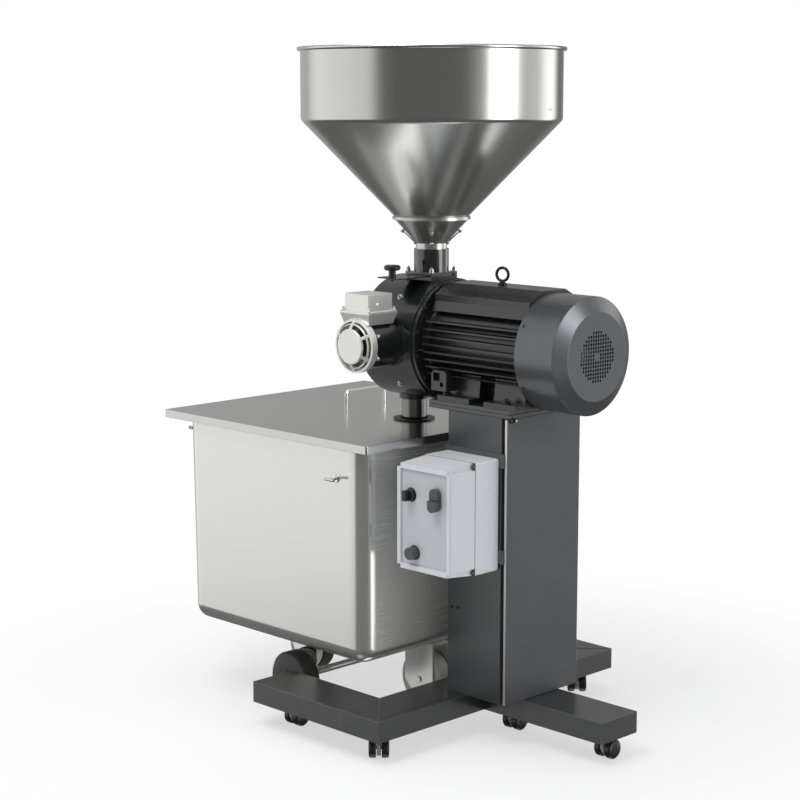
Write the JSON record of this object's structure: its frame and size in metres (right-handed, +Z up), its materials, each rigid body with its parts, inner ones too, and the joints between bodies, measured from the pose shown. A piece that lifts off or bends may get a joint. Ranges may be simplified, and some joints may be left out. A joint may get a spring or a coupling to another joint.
{
  "type": "industrial coffee grinder",
  "caption": "Floor standing disc mill for coffee with a round stainless hopper, side motor, sheet steel column on a caster base and a lidded wheeled bin under the chute.",
  "frame": {"origin": "on the floor under the hopper's axis, which is the middle of the part's outline", "axes": "+Z up, +X along the motor's axis towards its fan cowl, +Y away from the control box side"},
  "size_m": [1.258, 0.868, 1.69],
  "materials": {
    "black_paint": "satin powder coat",
    "dark_casting": "dark painted casting",
    "stainless": "brushed stainless sheet",
    "bright_steel": "polished",
    "fork_steel": "pressed stainless sheet",
    "tool_steel": "machined",
    "black_steel": "black oxide",
    "silver_casting": "die cast, light grey",
    "box_plastic": "light grey polycarbonate",
    "black_plastic": "black",
    "black_rubber": "black",
    "wheel_rubber": "dark grey rubber tread",
    "twin_tread": "black with grey caps"
  },
  "bodies": {
    "frame": {"near_arm": "black_paint", "far_arm": "black_paint", "cross_beam": "black_paint", "rear_leg": "black_paint", "column_shell": "black_paint", "column_cover": "black_paint", "motor_plate": "black_paint", "enclosure_base": "box_plastic", "enclosure_lid": "box_plastic", "motor_frame": "dark_casting", "motor_flange": "dark_casting", "fan_cowl": "black_paint", "motor_terminal_box": "black_paint", "eye_bolt": "black_steel", "mill_housing": "dark_casting", "mill_bolts": "bright_steel", "mill_cover": "dark_casting", "inlet_collar": "black_paint", "outlet_chute": "stainless", "gearmotor_body": "black_paint", "gearmotor_cover": "silver_casting", "gearmotor_box": "silver_casting", "hopper_bowl": "stainless", "hopper_funnel": "stainless"},
    "selector": {"selector_knob": "black_plastic"},
    "round_control": {"round_button": "black_plastic"},
    "start": {"start_button": "black_plastic"},
    "stop": {"stop_button": "black_plastic"},
    "rotor": {"rotor_shaft": "tool_steel", "cooling_fan": "black_plastic", "rotating_disc": "tool_steel"},
    "setting_ring": {"adjusting_ring": "tool_steel"},
    "disc_carriage": {"stationary_disc": "tool_steel"},
    "setting_pinion": {"adjust_pinion": "tool_steel"},
    "gate": {"slide_gate": "stainless", "gate_knob": "black_plastic"},
    "bin": {"bin_tub": "stainless", "bin_axle": "bright_steel"},
    "lid": {"bin_lid": "stainless", "lid_ring": "black_rubber", "lid_handle": "bright_steel"},
    "catch": {"bin_catch": "bright_steel"},
    "near_wheel": {"near_bin_wheel": "wheel_rubber"},
    "far_wheel": {"far_bin_wheel": "wheel_rubber"},
    "front_fork": {"front_bin_fork": "fork_steel"},
    "rear_fork": {"rear_bin_fork": "fork_steel"},
    "front_roller": {"front_caster_wheel": "wheel_rubber"},
    "rear_roller": {"rear_caster_wheel": "wheel_rubber"},
    "near_arm_swivel": {"near_arm_caster_fork": "black_plastic"},
    "near_arm_twins": {"near_arm_caster_wheels": "twin_tread"},
    "far_arm_swivel": {"far_arm_caster_fork": "black_plastic"},
    "far_arm_twins": {"far_arm_caster_wheels": "twin_tread"},
    "near_corner_swivel": {"near_corner_caster_fork": "black_plastic"},
    "near_corner_twins": {"near_corner_caster_wheels": "twin_tread"},
    "far_corner_swivel": {"far_corner_caster_fork": "black_plastic"},
    "far_corner_twins": {"far_corner_caster_wheels": "twin_tread"},
    "leg_root_swivel": {"leg_root_caster_fork": "black_plastic"},
    "leg_root_twins": {"leg_root_caster_wheels": "twin_tread"},
    "leg_tip_swivel": {"leg_tip_caster_fork": "black_plastic"},
    "leg_tip_twins": {"leg_tip_caster_wheels": "twin_tread"}
  },
  "joints": [
    {"name": "selector_turn", "type": "hinge", "parent": "frame", "child": "selector", "pos_m": [0.228, -0.3, 0.638], "axis": [0, 1, 0], "range_deg": [-45, 45]},
    {"name": "round_press", "type": "slide", "parent": "frame", "child": "round_control", "axis": [0, 1, 0], "range_m": [0, 0.004], "stiffness_N_per_m": 400},
    {"name": "start_press", "type": "slide", "parent": "frame", "child": "start", "axis": [0, 1, 0], "range_m": [0, 0.004], "stiffness_N_per_m": 400},
    {"name": "stop_press", "type": "slide", "parent": "frame", "child": "stop", "axis": [0, 1, 0], "range_m": [0, 0.004], "stiffness_N_per_m": 400},
    {"name": "rotor_spin", "type": "hinge", "parent": "frame", "child": "rotor", "pos_m": [0, 0, 0.968], "axis": [1, 0, 0], "continuous": true},
    {"name": "ring_turn", "type": "hinge", "parent": "frame", "child": "setting_ring", "pos_m": [-0.028, 0, 0.968], "axis": [1, 0, 0], "range_deg": [0, 40]},
    {"name": "disc_advance", "type": "slide", "parent": "frame", "child": "disc_carriage", "axis": [-1, 0, 0], "range_m": [0, 0.00067]},
    {"name": "pinion_turn", "type": "hinge", "parent": "frame", "child": "setting_pinion", "pos_m": [0, -0.085, 0.968], "axis": [0, 1, 0], "range_deg": [-194.4, 0]},
    {"name": "gate_slide", "type": "slide", "parent": "frame", "child": "gate", "axis": [0, -1, 0], "range_m": [0, 0.076]},
    {"name": "bin_roll", "type": "slide", "parent": "frame", "child": "bin", "axis": [-1, 0, 0], "range_m": [0, 0.9]},
    {"name": "lid_lift", "type": "slide", "parent": "bin", "child": "lid", "axis": [0, 0, 1], "range_m": [0, 0.04]},
    {"name": "catch_turn", "type": "hinge", "parent": "bin", "child": "catch", "pos_m": [0.014, -0.345, 0.652], "axis": [0, 1, 0], "range_deg": [0, 90]},
    {"name": "near_wheel_spin", "type": "hinge", "parent": "bin", "child": "near_wheel", "pos_m": [-0.252, -0.244, 0.071], "axis": [0, 1, 0], "continuous": true},
    {"name": "far_wheel_spin", "type": "hinge", "parent": "bin", "child": "far_wheel", "pos_m": [-0.252, 0.244, 0.071], "axis": [0, 1, 0], "continuous": true},
    {"name": "front_fork_swivel", "type": "hinge", "parent": "bin", "child": "front_fork", "pos_m": [-0.429, 0, 0.18], "axis": [0, 0, 1], "continuous": true},
    {"name": "front_roller_spin", "type": "hinge", "parent": "front_fork", "child": "front_roller", "pos_m": [-0.457, 0, 0.071], "axis": [0, 1, 0], "continuous": true},
    {"name": "rear_fork_swivel", "type": "hinge", "parent": "bin", "child": "rear_fork", "pos_m": [-0.041, 0, 0.18], "axis": [0, 0, 1], "continuous": true},
    {"name": "rear_roller_spin", "type": "hinge", "parent": "rear_fork", "child": "rear_roller", "pos_m": [-0.013, 0, 0.071], "axis": [0, 1, 0], "continuous": true},
    {"name": "near_arm_caster_swivel", "type": "hinge", "parent": "frame", "child": "near_arm_swivel", "pos_m": [-0.125, -0.368, 0.05], "axis": [0, 0, 1], "continuous": true},
    {"name": "near_arm_caster_spin", "type": "hinge", "parent": "near_arm_swivel", "child": "near_arm_twins", "pos_m": [-0.125, -0.354, 0.024], "axis": [-1, 0, 0], "continuous": true},
    {"name": "far_arm_caster_swivel", "type": "hinge", "parent": "frame", "child": "far_arm_swivel", "pos_m": [-0.125, 0.368, 0.05], "axis": [0, 0, 1], "continuous": true},
    {"name": "far_arm_caster_spin", "type": "hinge", "parent": "far_arm_swivel", "child": "far_arm_twins", "pos_m": [-0.125, 0.382, 0.024], "axis": [-1, 0, 0], "continuous": true},
    {"name": "near_corner_caster_swivel", "type": "hinge", "parent": "frame", "child": "near_corner_swivel", "pos_m": [0.187, -0.368, 0.05], "axis": [0, 0, 1], "continuous": true},
    {"name": "near_corner_caster_spin", "type": "hinge", "parent": "near_corner_swivel", "child": "near_corner_twins", "pos_m": [0.1969, -0.3779, 0.024], "axis": [0.7071, 0.7071, 0], "continuous": true},
    {"name": "far_corner_caster_swivel", "type": "hinge", "parent": "frame", "child": "far_corner_swivel", "pos_m": [0.187, 0.368, 0.05], "axis": [0, 0, 1], "continuous": true},
    {"name": "far_corner_caster_spin", "type": "hinge", "parent": "far_corner_swivel", "child": "far_corner_twins", "pos_m": [0.1969, 0.3581, 0.024], "axis": [0.7071, 0.7071, 0], "continuous": true},
    {"name": "leg_root_caster_swivel", "type": "hinge", "parent": "frame", "child": "leg_root_swivel", "pos_m": [0.285, 0, 0.05], "axis": [0, 0, 1], "continuous": true},
    {"name": "leg_root_caster_spin", "type": "hinge", "parent": "leg_root_swivel", "child": "leg_root_twins", "pos_m": [0.285, 0.014, 0.024], "axis": [-1, 0, 0], "continuous": true},
    {"name": "leg_tip_caster_swivel", "type": "hinge", "parent": "frame", "child": "leg_tip_swivel", "pos_m": [0.582, 0, 0.05], "axis": [0, 0, 1], "continuous": true},
    {"name": "leg_tip_caster_spin", "type": "hinge", "parent": "leg_tip_swivel", "child": "leg_tip_twins", "pos_m": [0.582, 0.014, 0.024], "axis": [-1, 0, 0], "continuous": true}
  ],
  "couplings": [
    {"joint": "pinion_turn", "follows": "ring_turn", "ratio": -4.8571},
    {"joint": "disc_advance", "follows": "ring_turn", "m_per_rad": 0.00095493}
  ]
}
